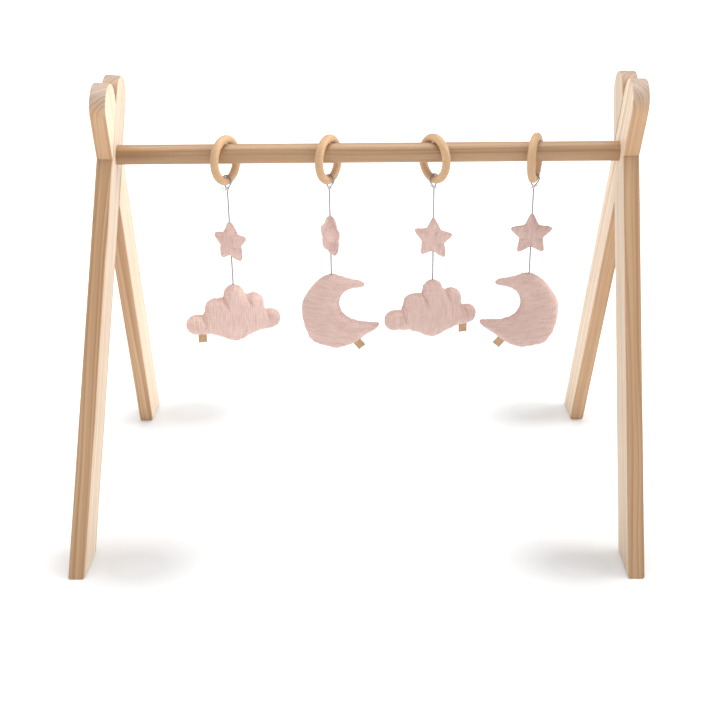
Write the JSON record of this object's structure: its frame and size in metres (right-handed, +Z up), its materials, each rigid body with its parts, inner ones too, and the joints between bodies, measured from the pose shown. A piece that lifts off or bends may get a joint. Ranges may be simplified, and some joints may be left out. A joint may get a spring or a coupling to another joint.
{
  "type": "baby play gym",
  "caption": "Freestanding wooden baby play gym: crossed-leg side frames carry a round bar, and wooden rings on the bar hold stuffed stars, clouds and crescent moons on cords.",
  "frame": {"origin": "on the floor, midway between the furthest points of the two sides and midway front to back", "axes": "+X along the bar from the left side frame to the right one, +Y to the back, +Z up"},
  "size_m": [0.6292, 0.443, 0.4998],
  "materials": {
    "pine": "sanded pine, bare or thinly oiled",
    "bar_wood": "sanded round softwood, slightly darker",
    "ring_wood": "smooth light hardwood",
    "steel": "zinc-plated steel",
    "insert_brass": "plain machined brass",
    "string": "thin pale twisted cotton string",
    "muslin": "crinkled pale pink cotton muslin, stuffed",
    "tag_leather": "plain tan label leather, unprinted"
  },
  "bodies": {
    "frame": {"leg_left_front": "pine", "leg_left_back": "pine", "leg_right_front": "pine", "leg_right_back": "pine", "crossbar": "bar_wood", "bolt_left": "steel", "bolt_right": "steel", "washer_left": "steel", "washer_right": "steel", "insert_left": "insert_brass", "insert_right": "insert_brass"},
    "hanging_ring_1": {"ring_1": "ring_wood", "loop_1": "string"},
    "strand_1": {"knot_1": "string", "upper_cord_1": "string"},
    "stuffed_star_1": {"star_1": "muslin"},
    "lower_strand_1": {"lower_cord_1": "string"},
    "pendant_1": {"cloud_1": "muslin", "tag_1": "tag_leather"},
    "hanging_ring_2": {"ring_2": "ring_wood", "loop_2": "string"},
    "strand_2": {"knot_2": "string", "upper_cord_2": "string"},
    "stuffed_star_2": {"star_2": "muslin"},
    "lower_strand_2": {"lower_cord_2": "string"},
    "pendant_2": {"moon_2": "muslin", "tag_2": "tag_leather"},
    "hanging_ring_3": {"ring_3": "ring_wood", "loop_3": "string"},
    "strand_3": {"knot_3": "string", "upper_cord_3": "string"},
    "stuffed_star_3": {"star_3": "muslin"},
    "lower_strand_3": {"lower_cord_3": "string"},
    "pendant_3": {"cloud_3": "muslin", "tag_3": "tag_leather"},
    "hanging_ring_4": {"ring_4": "ring_wood", "loop_4": "string"},
    "strand_4": {"knot_4": "string", "upper_cord_4": "string"},
    "stuffed_star_4": {"star_4": "muslin"},
    "lower_strand_4": {"lower_cord_4": "string"},
    "pendant_4": {"moon_4": "muslin", "tag_4": "tag_leather"}
  },
  "joints": [
    {"name": "ring_1_slide", "type": "slide", "parent": "frame", "child": "hanging_ring_1", "axis": [1, 0, 0], "range_m": [-0.055, 0.022]},
    {"name": "strand_1_swing", "type": "hinge", "parent": "hanging_ring_1", "child": "strand_1", "pos_m": [-0.14653, 0, 0.3761], "axis": [1, 0, 0], "range_deg": [-60, 60]},
    {"name": "star_1_twist", "type": "hinge", "parent": "strand_1", "child": "stuffed_star_1", "pos_m": [-0.14653, 0, 0.313], "axis": [0, 0, 1], "range_deg": [-90, 90]},
    {"name": "lower_strand_1_swing", "type": "hinge", "parent": "strand_1", "child": "lower_strand_1", "pos_m": [-0.14653, 0, 0.298], "axis": [1, 0, 0], "range_deg": [-30, 30]},
    {"name": "pendant_1_twist", "type": "hinge", "parent": "lower_strand_1", "child": "pendant_1", "pos_m": [-0.14653, 0, 0.2615], "axis": [0, 0, 1], "range_deg": [-90, 90]},
    {"name": "ring_2_slide", "type": "slide", "parent": "frame", "child": "hanging_ring_2", "axis": [1, 0, 0], "range_m": [-0.021, 0.003]},
    {"name": "strand_2_swing", "type": "hinge", "parent": "hanging_ring_2", "child": "strand_2", "pos_m": [-0.03053, 0, 0.3761], "axis": [1, 0, 0], "range_deg": [-60, 60]},
    {"name": "star_2_twist", "type": "hinge", "parent": "strand_2", "child": "stuffed_star_2", "pos_m": [-0.03053, 0, 0.32], "axis": [0, 0, 1], "range_deg": [-90, 90]},
    {"name": "lower_strand_2_swing", "type": "hinge", "parent": "strand_2", "child": "lower_strand_2", "pos_m": [-0.03053, 0, 0.305], "axis": [1, 0, 0], "range_deg": [-30, 30]},
    {"name": "pendant_2_twist", "type": "hinge", "parent": "lower_strand_2", "child": "pendant_2", "pos_m": [-0.03053, 0, 0.2735], "axis": [0, 0, 1], "range_deg": [-90, 90]},
    {"name": "ring_3_slide", "type": "slide", "parent": "frame", "child": "hanging_ring_3", "axis": [1, 0, 0], "range_m": [-0.003, 0.0015]},
    {"name": "strand_3_swing", "type": "hinge", "parent": "hanging_ring_3", "child": "strand_3", "pos_m": [0.08797, 0, 0.3761], "axis": [1, 0, 0], "range_deg": [-60, 60]},
    {"name": "star_3_twist", "type": "hinge", "parent": "strand_3", "child": "stuffed_star_3", "pos_m": [0.08797, 0, 0.316], "axis": [0, 0, 1], "range_deg": [-90, 90]},
    {"name": "lower_strand_3_swing", "type": "hinge", "parent": "strand_3", "child": "lower_strand_3", "pos_m": [0.08797, 0, 0.301], "axis": [1, 0, 0], "range_deg": [-30, 30]},
    {"name": "pendant_3_twist", "type": "hinge", "parent": "lower_strand_3", "child": "pendant_3", "pos_m": [0.08797, 0, 0.266], "axis": [0, 0, 1], "range_deg": [-90, 90]},
    {"name": "ring_4_slide", "type": "slide", "parent": "frame", "child": "hanging_ring_4", "axis": [1, 0, 0], "range_m": [-0.0015, 0.05]},
    {"name": "strand_4_swing", "type": "hinge", "parent": "hanging_ring_4", "child": "strand_4", "pos_m": [0.20047, 0, 0.3761], "axis": [1, 0, 0], "range_deg": [-60, 60]},
    {"name": "star_4_twist", "type": "hinge", "parent": "strand_4", "child": "stuffed_star_4", "pos_m": [0.20047, 0, 0.32], "axis": [0, 0, 1], "range_deg": [-90, 90]},
    {"name": "lower_strand_4_swing", "type": "hinge", "parent": "strand_4", "child": "lower_strand_4", "pos_m": [0.20047, 0, 0.305], "axis": [1, 0, 0], "range_deg": [-30, 30]},
    {"name": "pendant_4_twist", "type": "hinge", "parent": "lower_strand_4", "child": "pendant_4", "pos_m": [0.20047, 0, 0.2735], "axis": [0, 0, 1], "range_deg": [-90, 90]}
  ]
}
